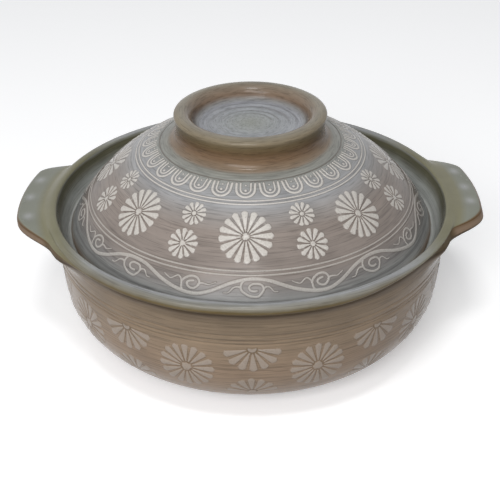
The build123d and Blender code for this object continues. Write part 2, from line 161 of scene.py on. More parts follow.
def bend(start, end, leaving, count):
    """Arc that leaves start along a direction and meets end. Its centre lies on the normal
    at start, where the chord's mid-perpendicular crosses it."""
    start, end, leaving = (np.asarray(value, float) for value in (start, end, leaving))
    normal = unit(np.array([-leaving[1], leaving[0]]))
    chord = end - start
    radius = chord @ chord / 2 / (chord @ normal)
    centre = start + radius * normal
    first, last = (np.arctan2(*(place - centre)[::-1]) for place in (start, end))
    sweep = (last - first + np.pi) % (2 * np.pi) - np.pi
    angle = first + sweep * np.linspace(0, 1, count)
    return centre + abs(radius) * np.stack([np.cos(angle), np.sin(angle)], 1)


def straight(start, end, step):
    """Even points from start up to and without end, at most a step apart."""
    count = max(1, int(np.ceil(np.max(np.linalg.norm(end - start, axis=-1)) / step)))
    share = (np.arange(count) / count)[:, None]
    return start[..., None, :] * (1 - share) + end[..., None, :] * share


def rounded(corners, trims, step, arc=4):
    """Corners joined by straight runs. Each inner corner becomes the circle arc that leaves
    both its runs a trim before the corner, as a rational quadratic curve. Leading axes of
    the corners are kept, so that a whole table of sections is made at once."""
    corners = np.asarray(corners, float)
    t = (np.arange(arc) / arc)[:, None]
    last, runs = corners[..., 0, :], []
    for index, trim in enumerate(trims, 1):
        here = corners[..., index, :]
        back = unit(corners[..., index - 1, :] - here)
        ahead = unit(corners[..., index + 1, :] - here)
        trim = np.asarray(trim, float)[..., None]
        start, end = here + back * trim, here + ahead * trim
        bulge = np.sqrt((1 - (back * ahead).sum(-1)) / 2)[..., None, None]
        shares = (1 - t) ** 2, 2 * bulge * t * (1 - t), t ** 2
        places = (point[..., None, :] for point in (start, here, end))
        curve = sum(share * place for share, place in zip(shares, places)) / sum(shares)
        runs += [straight(last, start, step), curve]
        last = end
    runs += [straight(last, corners[..., -1, :], step), corners[..., -1:, :]]
    return np.concatenate(runs, -2)


def smooth(points):
    """Catmull-Rom curve through points, in even steps of each span's parameter."""
    points = np.asarray(points, float)
    p = np.concatenate([[2 * points[0] - points[1]], points, [2 * points[-1] - points[-2]]])
    t = (np.arange(curve_rows) / curve_rows)[:, None]
    a, b, c, d = (p[k:len(p) - 3 + k, None] for k in range(4))
    span = (2 * b + (c - a) * t + (2 * a - 5 * b + 4 * c - d) * t ** 2
            + (3 * b - a - 3 * c + d) * t ** 3) / 2
    return np.concatenate([span.reshape(-1, points.shape[1]), points[-1:]])


def section(points):
    """A turned section as a table: s, radius, height and outward normal."""
    s = np.concatenate([[0], np.cumsum(np.hypot(*np.diff(points, axis=0).T))])
    tangent = unit(np.gradient(points, s, axis=0))
    return {"s": s, "r": points[:, 0], "z": points[:, 1],
            "out": tangent[:, 1], "up": -tangent[:, 0]}


def at(shape, radius, height):
    """s where a section passes nearest to a radius and a height."""
    return float(shape["s"][np.argmin(np.hypot(shape["r"] - radius, shape["z"] - height))])


def unrolled(shape, centre, turn, x, y):
    """s and angle of a flat drawing laid on a section, x round it and y up the slope. The
    cone that touches the section at the centre is unrolled: a point keeps its distance and
    its angle from the cone's apex."""
    radius, up = (np.interp(centre, shape["s"], shape[key]) for key in ("r", "up"))
    apex = radius / up
    far, swing = np.hypot(x / apex, 1 - y / apex), np.arctan2(x / apex, 1 - y / apex)
    return centre + apex * (1 - far), np.radians(turn) + swing * apex / radius


def lifted(shape, s, theta, lift):
    """Points at s and an angle, moved out square to the surface."""
    r, z, out, up = (np.interp(s, shape["s"], shape[key]) for key in ("r", "z", "out", "up"))
    r = r + lift * out
    return np.stack([r * np.cos(theta), r * np.sin(theta), z + lift * up + 0 * theta], -1)


# Values kept at each point of a mesh: s, the shares of slip and of pooled glaze, and on a lug
# those of its top, its finger marks, its side and its edge. Points nearer than the weld's
# reach become one
mark_names = ("along", "slip", "pool", "lug", "spot", "side", "edge")
weld_reach = 0.0001


def make_piece(name, sheets, material, body, nodes):
    """Mesh of grids of points. Each grid is a table with its points and its values for the
    vertex attributes, and closes on itself where it wraps. Points that meet at a grid's
    centre become one."""
    places, faces, values, start = [], [], {}, 0
    for grid in sheets:
        points = grid["points"]
        rows, columns = points.shape[:2]
        index = start + np.arange(rows * columns).reshape(rows, columns)
        if grid.get("wraps"):
            index = np.concatenate([index, index[:, :1]], 1)
        quads = np.stack([index[:-1, :-1], index[:-1, 1:], index[1:, 1:], index[1:, :-1]], -1)
        faces.append(quads.reshape(-1, 4))
        places.append(points.reshape(-1, 3))
        for key in mark_names:
            value = np.broadcast_to(grid.get(key, 0.0), (rows, columns))
            values.setdefault(key, []).append(value.ravel())
        start += rows * columns
    mesh = bpy.data.meshes.new(name)
    mesh.from_pydata((np.concatenate(places) * MM).tolist(), [],
                     np.concatenate(faces).tolist())
    for key, value in values.items():
        attribute = mesh.attributes.new(key, "FLOAT", "POINT")
        attribute.data.foreach_set("value", np.concatenate(value).astype(np.float32))
    welded = bmesh.new()
    welded.from_mesh(mesh)
    bmesh.ops.remove_doubles(welded, verts=welded.verts, dist=weld_reach * MM)
    welded.to_mesh(mesh)
    welded.free()
    mesh.shade_smooth()
    mesh.materials.append(material)
    piece = bpy.data.objects.new(name, mesh)
    bpy.context.collection.objects.link(piece)
    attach(piece, body)
    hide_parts(*nodes)
    return piece


# Columns round the pot, and what each lug does there
theta_lug = np.arange(-lug_sweep, lug_sweep, lug_turn)
theta_side = np.linspace(lug_sweep, 180 - lug_sweep, side_columns, endpoint=False)
pot_theta = np.radians(np.concatenate(
    [theta_lug, theta_side, theta_lug + 180, theta_side + 180]))
on_right = (np.cos(pot_theta) > 0).astype(int)
off_lug = np.degrees(np.arcsin(np.sin(pot_theta)))
to_back = off_lug > 0


def by_side(pair):
    """Value of the lug that a column belongs to, from a (left, right) pair or pairs of them."""
    return np.array(pair)[..., on_right]


def share_of_lug(back, front):
    """1 at the middle of a lug, easing to 0 from its start to its stop on either side."""
    start, stop = np.where(to_back, by_side(back), by_side(front))
    return 1 - ease(np.abs(off_lug), start, stop)


lug = share_of_lug(lug_back, lug_front)
root = share_of_lug(root_back, root_front)
near_lug = np.where(to_back, lug, 1 - ease(np.abs(off_lug), *by_side(rim_calm)))
drawn = near_lug * (1 - lug)
lug_out = (lug_reach + by_side(lug_longer)) * lug + by_side(rim_drawn) * drawn
rim_lift = by_side(rim_lifted) * drawn

# Section of the pot
lean = unit(neck - belly)
wall_normal = np.array([lean[1], -lean[0]])


def on_wall(height, depth=0.0):
    """Point of the pot wall's straight part at a height, some way into the wall."""
    return belly + lean * (height - belly[1]) / lean[1] - wall_normal * depth


def pot_rows(lug, root, swell, out, lift, top):
    """Section of the pot for each share of the lug, which draws the neck and lip out as far
    as it reaches and brings them to its top. The root's share and swell set the neck straight
    under the lip, and a lift raises the lip's edge and makes it sharper."""
    foot_inside = foot_radius - foot_width
    below = rounded([[0, foot_height], [foot_inside, foot_height], [foot_inside, 0],
                     [foot_radius, 0], [foot_radius, foot_height + foot_step], heel],
                    foot_trims, wide_step)
    arc = bend(belly, heel, -lean, heel_rows)
    heights = np.concatenate([np.arange(belly[1] + 2, fine_low, row_step),
                              np.arange(fine_low, fine_high, fine_step)])
    plain = np.concatenate([below[:-1], arc[::-1], on_wall(heights[:, None])])
    bowl = bend(on_wall(belly[1], wall), heel + heel_through, -lean, bowl_rows)
    edge_height = (rim_height - lip_drop + lift) * (1 - lug) + top * lug
    shoulder_height = (rim_height - shoulder_drop + 0.8 * lift) * (1 - lug) + (top + 0.1) * lug
    corners = np.stack([np.stack([radius + 0 * lug, height + 0 * lug], -1)
                        for radius, height in (
        (on_wall(wall_top)[0], wall_top), (on_wall(root_height)[0], root_height),
        (neck[0] + out + swell, neck[1] + (top - lug_edge - neck[1]) * root),
        (rim_radius + out, edge_height), (rim_radius + lug_shoulder * lug, shoulder_height),
        (rim_radius - lug_crest_in * lug, rim_height - lug_crest_drop * lug),
        (rim_radius - crest_in, rim_height), (rim_radius - slope_in, rim_height - slope_drop),
        (rim_radius - ledge_in, seat_height), (ledge_radius, seat_height),
        (ledge_radius, seat_height - ledge_depth), (on_wall(bowl_top, wall)[0], bowl_top),
        bowl[0])], 1)
    trims = (2.5, 4.2 - 2 * root, 1.1 + 1.2 * lug - 0.15 * lift, 0.3 + 1.7 * lug,
             3.4 - 1.8 * lug - 0.7 * lift, 1.4, 0.8, 1.5, 1.5, 0.5, 3.0)
    upper = rounded(corners, trims, row_step, 5)
    floor = rounded([bowl[-1], [foot_radius, floor_height], [0, floor_height]], (floor_trim,),
                    wide_step, 5)
    plain, bowl, floor = (np.broadcast_to(part, (len(lug),) + part.shape)
                          for part in (plain, bowl[1:-1], floor))
    return np.concatenate([plain, upper, bowl, floor], 1)


pot_table = pot_rows(lug, root, by_side(root_swell) * root, lug_out, rim_lift,
                     rim_height - by_side(lug_drop))
plain_pot = pot_table[np.argmin(lug + root + near_lug)]
pot = section(plain_pot)
lines = bell(plain_pot[:, 1:] - wall_lines, wall_line_width).sum(1)
lines *= (plain_pot[:, 0] > wall_lines_beyond) & (plain_pot[:, 1] > wall_lines_above)
radius, height = np.moveaxis(pot_table, 2, 0)
radius = radius - wall_line_depth * lines

# Where the glaze of the lugs lies: on their tops and the rim's crest beside them, on their
# sides below the lip's edge, in a thin line along that edge, and in the finger marks
lip_s = at(pot, rim_radius, rim_height - lip_drop)
on_rim = pot["s"] > at(pot, *neck)
on_rim &= pot["s"] < at(pot, rim_radius - glaze_in, rim_height - glaze_drop)
above_lip = ease(pot["s"] - lip_s, *lip_fade)[None, :]
crest_share = 1 - ease(np.abs(off_lug), *crest_fade)[:, None]
top_share = np.maximum(ease(lug, 0, full_top)[:, None], crest_share) * on_rim * above_lip
side_share = ease(lug, 0, full_side)[:, None] * on_rim * (1 - above_lip)
side_share = side_share * (radius > rim_radius)
edge_share = bell(pot["s"] - lip_s + edge_line_below, edge_line_width) * on_rim
edge_share = edge_share * ease(np.maximum(lug, near_lug), 0, full_edge)[:, None]
marks = sum(bell(radius - far, mark_depth)
            * bell(radius * np.radians(off_lug[:, None] - off), mark_width)
            * (on_right == side)[:, None]
            for side, places in enumerate(mark_places) for off, far in places)
marks = mark_share * marks * top_share
pot_points = np.stack([radius * np.cos(pot_theta)[:, None],
                       radius * np.sin(pot_theta)[:, None], height - mark_press * marks], -1)
pot_grid = {"points": np.swapaxes(pot_points, 0, 1), "wraps": True,
            "along": pot["s"][:, None], "pool": wall_line_pool * lines[:, None],
            "lug": top_share.T, "spot": marks.T, "side": side_share.T, "edge": edge_share.T}

# Section of the lid: the flank and crown of its dome, its inside, its seat and its knob
top_tilt = np.radians(dome_top_slope)
crown_centre = np.array([knob_foot, knob_seat]) - dome_crown_radius * np.array(
    [np.sin(top_tilt), np.cos(top_tilt)])
tilts = np.radians(np.linspace(dome_shoulder_slope, crown_slope, crown_rows))
crown = crown_centre + dome_crown_radius * np.stack([np.sin(tilts), np.cos(tilts)], 1)
flank = bend(crown[0], lid_edge, (np.cos(tilts[0]), -np.sin(tilts[0])), flank_rows)[::-1]
dome = np.concatenate([flank[:-1], crown])
dome_shape = section(dome)
inside = dome - lid_wall * np.stack([dome_shape["out"], dome_shape["up"]], 1)
inside = inside[(inside[:, 1] > seat_height + 2)][::-2]
ceiling = knob_floor - ceiling_wall
under = rounded([[0, ceiling], [ceiling_radius, ceiling],
                 [ceiling_radius, inside[0][1] + 1.5], inside[0]], under_trims, under_step)
seat = rounded([inside[-1], [inside[-1][0] + 1, seat_height], [lid_radius, seat_height],
                lid_edge, lid_edge + lid_edge_turn], seat_trims, seat_step)
flare = smooth([crown[-1]] + [[radius, knob_top - drop] for radius, drop in flare_places])
lip = rounded([flare[-1]] + [[radius, knob_top - drop] for radius, drop in lip_places]
              + [[well_radius, knob_floor], [0, knob_floor]], lip_trims, lip_step, 5)
lid = section(np.concatenate([under[:-1], inside[:-1], seat[:-1], flank[2:-1], crown[:-1],
                              flare[:-1], lip]))

# Marks turned into the lid. The pitch of the throwing rings drifts in and out
outside = lid["s"] > at(lid, *lid_edge)
groove = bell(lid["r"] - groove_radius, groove_width) * outside
ridges = np.sin(2 * np.pi * lid["r"] / ridge_pitch) * outside
ridges *= ease(lid["r"], *ridge_starts) * (1 - ease(lid["r"], *ridge_stops))
drift = throw_share * np.sin(2 * np.pi * lid["r"] / throw_drift)
throws = np.sin(2 * np.pi * lid["r"] / throw_pitch + drift)
throws *= outside * (lid["z"] < knob_floor + 1)
throws *= ease(lid["r"], *throw_starts) * (1 - ease(lid["r"], *throw_stops))
shift = ridge_height * ridges - groove_depth * groove + throw_height * throws
lid_theta = 2 * np.pi * np.arange(lid_columns) / lid_columns
lid_grid = {"points": lifted(lid, lid["s"][:, None], lid_theta[None, :], shift[:, None]),
            "wraps": True, "along": lid["s"][:, None], "pool": groove_pool * groove[:, None]}

# The parts of both sections that carry slip
lid_shape = {key: value[outside] for key, value in lid.items()}
pot_shape = {key: value[:np.argmax(pot["s"] > at(pot, *neck))] for key, value in pot.items()}


def dome_s(radius):
    """s of the dome at a radius."""
    dome = lid_shape["r"] > dome_foot
    return np.interp(-radius, -lid_shape["r"][dome], lid_shape["s"][dome])


def slip_values(edge, half):
    """Lift and paint of slip from the distance to its edge, minus inside. Slip swells to its
    rise within half its width, as a quarter of an ellipse. Outside it the patch falls away
    under the ground, and glaze pools dark in the first half millimetre."""
    inward = np.clip(-edge / half, 0, 1)
    lift = patch_lift * (1 - 2 * np.clip(edge / patch_margin, 0, 1))
    lift = lift - patch_sink * np.clip(edge - patch_margin, 0, 1)
    lift = lift + slip_rise * np.sqrt(1 - (1 - inward) ** 2)
    pool = ease(edge, *pool_starts) * (1 - ease(edge, *pool_stops))
    return {"lift": lift, "slip": ease(-edge, *slip_fade), "pool": pool}


def flower(shape, centre, turn, reach, count, boss, first, shown=None, rows=30, fan=9):
    """Stamped flower: a boss and petals that widen to round tips. A petal is the space round
    a line from its root to the centre of its tip, within a half width that grows evenly. Its
    edge wavers a little, as slow sums of sines. Of a half flower only some petals are shown,
    and its ground stops a skirt beyond its flat side."""
    pitch = 2 * np.pi / count
    full = shown is None
    skirt = 0 if full else half_skirt
    span = 2 * np.pi if full else np.pi + 2 * skirt
    columns = int(round(span / pitch * fan))
    alpha = first - pitch / 2 - skirt + span * np.arange(columns) / columns
    rho = np.concatenate([[0], np.linspace(boss * 0.4, reach * 0.8, rows - tip_rows),
                          np.linspace(reach * 0.84, reach + patch_margin, tip_rows)])
    rho, alpha = np.meshgrid(rho, alpha[::-1], indexing="ij")
    tip_radius = reach * pitch * petal_tip_share / (1 + pitch * petal_tip_share)
    root, tip = boss + petal_gap_share * reach, reach - tip_radius
    root_half = root * pitch * petal_root_share
    index = np.round((alpha - first) / pitch)
    index = index if full else np.clip(index, 0, shown - 1)
    off = alpha - first - index * pitch
    run, side = rho * np.cos(off), rho * np.sin(off)
    share = np.clip((run - root) / (tip - root), 0, 1)
    half = root_half + (tip_radius - root_half) * share
    edge = np.hypot(run - root - share * (tip - root), side) - half
    if not full:
        edge = np.maximum(edge, -rho * np.sin(alpha - first + pitch / 2))
    edge = np.minimum(edge, rho - boss)
    edge = edge + petal_wavers[0] * np.sin(rho * 1.7 + 9 * turn) * np.sin(3 * alpha + turn)
    edge = edge + petal_wavers[1] * np.sin(7 * alpha + 5 * turn + rho)
    values = slip_values(edge, petal_round)
    values["pool"] = values["pool"] * (petal_pools[0] - petal_pools[1] * rho / reach)
    s, theta = unrolled(shape, centre, turn, rho * np.cos(alpha), rho * np.sin(alpha))
    return {"points": lifted(shape, s, theta, values["lift"]), "wraps": full, "along": s,
            "slip": values["slip"], "pool": values["pool"]}


def stroke(shape, s, theta, width, strength=1.0):
    """Band of slip along a path, of one width or a width for each point. Its ends run on by
    half a width and a margin, and count as round: there the distance to the edge is taken
    from the path's last point."""
    half = np.broadcast_to(width, s.shape) / 2
    mean = np.interp(s, shape["s"], shape["r"]).mean()
    path = np.stack([theta * mean, s], 1)
    end_shares = np.array([1.0, 0.62, 0.42, 0.2])
    before, after = (end_shares * (end + patch_margin) for end in (half[0], half[-1]))
    head = path[0] - unit(path[1] - path[0]) * before[:, None]
    tail = path[-1] + unit(path[-1] - path[-2]) * after[::-1, None]
    path = np.concatenate([head, path, tail])
    past = np.concatenate([before, 0 * s, after[::-1]])[:, None]
    half = np.concatenate([0 * before + half[0], half, 0 * after + half[-1]])[:, None]
    run = unit(np.gradient(path, axis=0))
    half_shares, margins = (1, 1, 1, 1, 0.8, 0.45), (patch_margin, 0.6, 0.12, 0, 0, 0)
    one_side = half * np.array(half_shares) + np.array(margins)
    across = np.concatenate([one_side, 0 * half, -one_side[:, ::-1]], 1)
    values = slip_values(np.hypot(past, across) - half, half)
    s = path[:, 1:] + run[:, :1] * across
    theta = (path[:, :1] - run[:, 1:] * across) / mean
    return {"points": lifted(shape, s, theta, values["lift"]), "along": s,
            "slip": strength * values["slip"], "pool": line_pool * strength * values["pool"]}


def ring(radius, width, strength=1.0):
    """Slip line that runs all the way round the lid at a radius. The distance to its edge is
    that from its middle along s less half its width."""
    half = width / 2
    across = np.array([half + 0.8, half + 0.12, half, 0.7 * half, 0])
    across = np.concatenate([across, -across[-2::-1]])[::-1, None]
    values = slip_values(np.abs(across) - half, half)
    s = np.interp(-radius, -lid_shape["r"], lid_shape["s"]) + across
    theta = 2 * np.pi * np.arange(ring_columns)[None, :] / ring_columns
    points = lifted(lid_shape, s + 0 * theta, theta + 0 * s, values["lift"])
    return {"points": points, "wraps": True, "along": s, "slip": strength * values["slip"],
            "pool": line_pool * strength * values["pool"]}


def turned(grid, angle):
    """A copy of a grid turned round the upright axis."""
    turn = np.array([[np.cos(angle), np.sin(angle), 0], [-np.sin(angle), np.cos(angle), 0],
                     [0, 0, 1]])
    return dict(grid, points=grid["points"] @ turn)


def ring_of(grids, count):
    """Copies of grids at even turns."""
    return [turned(grid, 2 * np.pi * k / count) for k in range(count) for grid in grids]


def colour(code):
    """Linear colour of an sRGB hex code: a straight part near black, and above it the power
    of 2.4 of a scaled and shifted value."""
    value = np.array([int(code[k:k + 2], 16) for k in (1, 3, 5)]) / 255
    linear = np.where(value <= 0.04045, value / 12.92, ((value + 0.055) / 1.055) ** 2.4)
    return (*linear.tolist(), 1.0)


def greys(stops):
    """Stops of a ramp, from places and plain values."""
    return [(place, (value, value, value, 1.0)) for place, value in stops]


def colours(stops):
    """Stops of a ramp, from places and sRGB hex codes."""
    return [(place, colour(code)) for place, code in stops]


def add(tree, kind, *values, inputs=None, stops=(), **settings):
    """Shader node of a kind, with its settings and the stops of its ramp. Values are its
    inputs in order and inputs are those by name or number, as plain values, sockets or nodes.
    Of a node, the first output in use is linked."""
    node = tree.nodes.new("ShaderNode" + kind)
    for key, value in settings.items():
        setattr(node, key, value)
    if stops:
        elements = node.color_ramp.elements
        while len(elements) < len(stops):
            elements.new(0.5)
        for element, (place, tone) in zip(elements, sorted(stops, key=lambda stop: stop[0])):
            element.position, element.color = place, tone
    for key, value in {**dict(enumerate(values)), **(inputs or {})}.items():
        if isinstance(value, bpy.types.Node):
            value = next(output for output in value.outputs if output.enabled)
        if isinstance(value, bpy.types.NodeSocket):
            tree.links.new(value, node.inputs[key])
        else:
            node.inputs[key].default_value = value
    return node


def bare_tree(holder):
    """Empty node tree of a material or world."""
    holder.use_nodes = True
    holder.node_tree.nodes.clear()
    return holder.node_tree


# Patterns in the glaze, by their real sizes: length and width of the brush's streaks and of
# finer hairs, and size of clouds and of grains of clay. Real grains are a few tenths of a
# millimetre, too fine to show, so they are drawn coarser
streak_length, streak_width = 54.6, 2.5
hair_length, hair_width = 25.8, 2 / 3
cloud_size, cloud_wander, grain_size, grain_depth = 28.6, 3.0, 0.909, 0.4

# Grey of each pattern at values of its noise, and how much of it is laid on. The grain thins
# the slip, and its lowest spots are specks of iron
streak_tones, streak_share = ((0.3, 0.72), (0.5, 0.9), (0.7, 1.0)), 0.85
hair_tones, hair_share = ((0.34, 0.66), (0.47, 1.0)), 0.8
cloud_tones, cloud_share = ((0.35, 0.8), (0.62, 1.0)), 0.6
slip_tones, pool_share = ((0.3, 0.62), (0.62, 1.0)), 0.75
speck_tones, speck_share, speck_code = ((0.27, 1.0), (0.33, 0.0)), 0.35, "#3a2e24"

# Fired glaze gleams less than clear glass, and its grain is hardly felt
glaze_index, glaze_gleam, grain_strength = 1.5, 0.17, 0.05

# Radii at which a lug's top has its first three tones, and the span of their ramp
lug_radii, lug_span = (140.0, 145.0, 150.0), 20.0


def brushed(tree, direction, along, length, width, detail, roughness):
    """Noise drawn out round the pot. It is read at the direction from the axis, times how
    often its length goes into the rim's radius, and at s over its width."""
    around = rim_radius / length
    height = add(tree, "Math", along, width, operation="DIVIDE")
    place = add(tree, "VectorMath", direction, (around, around, around),
                add(tree, "CombineXYZ", inputs={2: height}), operation="MULTIPLY_ADD")
    return add(tree, "TexNoise", inputs={"Vector": place, "Scale": 1.0, "Detail": detail,
                                         "Roughness": roughness})


def lug_layers(tree, flat, marks, tones):
    """Layers of paint on a lug: its top, by the distance from the axis, and then its side,
    its edge and its finger marks."""
    reach = add(tree, "VectorMath", flat, operation="LENGTH")
    reach = add(tree, "Math", reach, 1 / (lug_span * MM), -lug_radii[0] / lug_span,
                operation="MULTIPLY_ADD")
    stops = [((radius - lug_radii[0]) / lug_span, code) for radius, code in zip(lug_radii, tones)]
    top = "MIX", marks["lug"], add(tree, "ValToRGB", reach, stops=colours(stops))
    return [top], [("MIX", marks[key], colour(code))
                   for key, code in zip(("side", "edge", "spot"), tones[len(lug_radii):])]


def glazed(name, length, zones, slip, pool, lug_tones=None):
    """Stoneware glaze over brushed ground, as colours laid one over another. The first is
    that of zones, which give colour and roughness at places along the section, and clouds
    make them wander. Slip shows pale through the glaze, and it pools dark beside the slip.
    Lug tones are three on the top of a lug, and those of its side, edge and finger marks."""
    material = bpy.data.materials.new(name)
    tree = bare_tree(material)
    place = add(tree, "TexCoord").outputs["Object"]
    flat = add(tree, "VectorMath", place, (1, 1, 0), operation="MULTIPLY")
    direction = add(tree, "VectorMath", flat, operation="NORMALIZE")
    marks = {key: add(tree, "Attribute", attribute_name=key).outputs["Fac"]
             for key in mark_names}
    streak = brushed(tree, direction, marks["along"], streak_length, streak_width, 5.0, 0.62)
    hair = brushed(tree, direction, marks["along"], hair_length, hair_width, 2.0, 0.5)
    cloud, grain = (add(tree, "TexNoise", inputs={"Vector": place, "Scale": 1 / (size * MM),
                                                  "Detail": detail, "Roughness": roughness})
                    for size, detail, roughness in ((cloud_size, 4.0, 0.55),
                                                    (grain_size, 3.0, 0.6)))
    streaks, hairs, clouds, thin, specks = (
        add(tree, "ValToRGB", pattern, stops=greys(tones)) for pattern, tones in (
            (streak, streak_tones), (hair, hair_tones), (cloud, cloud_tones),
            (grain, slip_tones), (grain, speck_tones)))
    wander = add(tree, "Math", cloud, 0.5, operation="SUBTRACT")
    wander = add(tree, "Math", wander, cloud_wander, marks["along"], operation="MULTIPLY_ADD")
    share = add(tree, "Math", wander, length, operation="DIVIDE")
    rough = add(tree, "ValToRGB", share,
                stops=greys((s / length, value) for s, _, value in zones))
    paint = add(tree, "ValToRGB", share,
                stops=colours((s / length, code) for s, code, _ in zones))
    slip_share, pooled, speckled = (
        add(tree, "Math", first, second, operation="MULTIPLY") for first, second in (
            (marks["slip"], thin), (marks["pool"], pool_share), (specks, speck_share)))
    tops, sides = lug_layers(tree, flat, marks, lug_tones) if lug_tones else ([], [])
    for blend, amount, tone in (
            ("MULTIPLY", streak_share, streaks), ("MULTIPLY", hair_share, hairs), *tops,
            ("MULTIPLY", cloud_share, clouds), *sides, ("MIX", slip_share, colour(slip)),
            ("MIX", pooled, colour(pool)), ("MIX", speckled, colour(speck_code))):
        paint = add(tree, "Mix", data_type="RGBA", blend_type=blend,
                    inputs={0: amount, 6: paint, 7: tone})
    bump = add(tree, "Bump", inputs={"Strength": grain_strength, "Height": grain,
                                     "Distance": grain_depth * MM})
    shader = add(tree, "BsdfPrincipled",
                 inputs={"Base Color": paint, "Roughness": rough, "Normal": bump,
                         "IOR": glaze_index, "Specular IOR Level": glaze_gleam})
    add(tree, "OutputMaterial", shader)
    return material


def placed(name, thing, right, up, back, place):
    """Camera or lamp set at a place in metres, looking away from back."""
    item = bpy.data.objects.new(name, thing)
    turn = np.stack([right, up, back, place], 1)
    item.matrix_world = Matrix([*turn.tolist(), [0, 0, 0, 1]])
    bpy.context.collection.objects.link(item)
    return item


# Camera, by its angles in degrees, its lens and sensor in millimetres, and in shares of the
# rim's radius how far its aim is from the rim's middle, to the side and down, and its distance
camera_pitch, camera_roll, camera_lens, camera_sensor = 31.4, 0.42, 76.1, 36.0
aim_side, aim_drop, camera_distance = -0.006, 0.329, 5.4
pitch, roll = np.radians(camera_pitch), np.radians(camera_roll)
forward = np.array([0, np.cos(pitch), -np.sin(pitch)])
across, above = np.array([1.0, 0, 0]), np.array([0, np.sin(pitch), np.cos(pitch)])
aim = np.array([aim_side * rim_radius, 0, rim_height - aim_drop * rim_radius])
camera_data = bpy.data.cameras.new("camera")
camera_data.lens, camera_data.sensor_width = camera_lens, camera_sensor
camera = placed("camera", camera_data, np.cos(roll) * across - np.sin(roll) * above,
                np.sin(roll) * across + np.cos(roll) * above, -forward,
                (aim - camera_distance * rim_radius * forward) * MM)
bpy.context.scene.camera = camera
bpy.context.scene.view_settings.view_transform = "Standard"


def background_rays(tree):
    """1 for the rays that show the background: to the camera, in gloss and through glass."""
    path = add(tree, "LightPath").outputs
    seen = add(tree, "Math", path["Is Camera Ray"], path["Is Glossy Ray"],
               operation="MAXIMUM")
    return add(tree, "Math", seen, path["Is Transmission Ray"], operation="MAXIMUM")


# Floor of pale paper: matt, grey to the light it throws back on the pot and near white, with
# a glow, where it is seen, so that it shows the pot's soft shadow on white
floor_half, floor_glow = 3.0, 0.3
floor_mesh = bpy.data.meshes.new("floor")
floor_mesh.from_pydata([(x * floor_half, y * floor_half, 0)
                        for x, y in ((-1, -1), (1, -1), (1, 1), (-1, 1))], [], [(0, 1, 2, 3)])
floor = bpy.data.objects.new("floor", floor_mesh)
floor_paper = bpy.data.materials.new("pale paper")
paper_tree = bare_tree(floor_paper)
seen = background_rays(paper_tree)
tone = add(paper_tree, "Mix", data_type="RGBA",
           inputs={0: seen, 6: colour("#9a9a9a"), 7: colour("#fafafa")})
glow = add(paper_tree, "Math", seen, floor_glow, operation="MULTIPLY")
paper = add(paper_tree, "AddShader", add(paper_tree, "BsdfDiffuse", tone),
            add(paper_tree, "Emission", inputs={"Strength": glow}))
add(paper_tree, "OutputMaterial", paper)
floor_mesh.materials.append(floor_paper)
bpy.context.collection.objects.link(floor)


def area_light(name, way, distance, width, depth, power):
    """White rectangular light that faces the middle of the pot from a direction, at a
    distance and with sides in metres."""
    data = bpy.data.lights.new(name, "AREA")
    data.shape, data.size, data.size_y, data.energy = "RECTANGLE", width, depth, power
    away = unit(np.array(way))
    side = unit(np.cross([0.0, 1.0, 0.0], away))
    middle = np.array([0, 0, 90.0 * MM])
    return placed(name, data, side, np.cross(away, side), away, middle + away * distance)


window = area_light("window", (-0.04, -0.357, 0.927), 1.5, 0.34, 0.2, 5.5)
fill = area_light("fill", (-0.22, -0.88, 0.62), 2.0, 1.4, 0.8, 27.0)

# Surroundings: white where they are seen, and otherwise a light that weakens by these slopes
# to the right, to the back and upwards
sky_level, sky_slopes = 0.54, (-0.2, -0.16, -0.12)
world = bpy.data.worlds.new("pale surroundings")
bpy.context.scene.world = world
sky_tree = bare_tree(world)
x, y, z = add(sky_tree, "SeparateXYZ", add(sky_tree, "TexCoord").outputs["Generated"]).outputs
rightward = add(sky_tree, "Math", x, add(sky_tree, "Math", x, operation="ABSOLUTE"),
                operation="ADD")
strength = sky_level
for part, slope in zip((rightward, y, z), sky_slopes):
    strength = add(sky_tree, "Math", part, slope, strength, operation="MULTIPLY_ADD")
ambient = add(sky_tree, "Background", colour("#e8eaee"), strength)
white = add(sky_tree, "Background", colour("#ffffff"), 1.0)
sky = add(sky_tree, "MixShader", background_rays(sky_tree), ambient, white)
add(sky_tree, "OutputWorld", sky)

# Roughness of fired glaze where it lies thick, and of bare or thinly glazed clay
gloss, bare = 0.2, 0.8

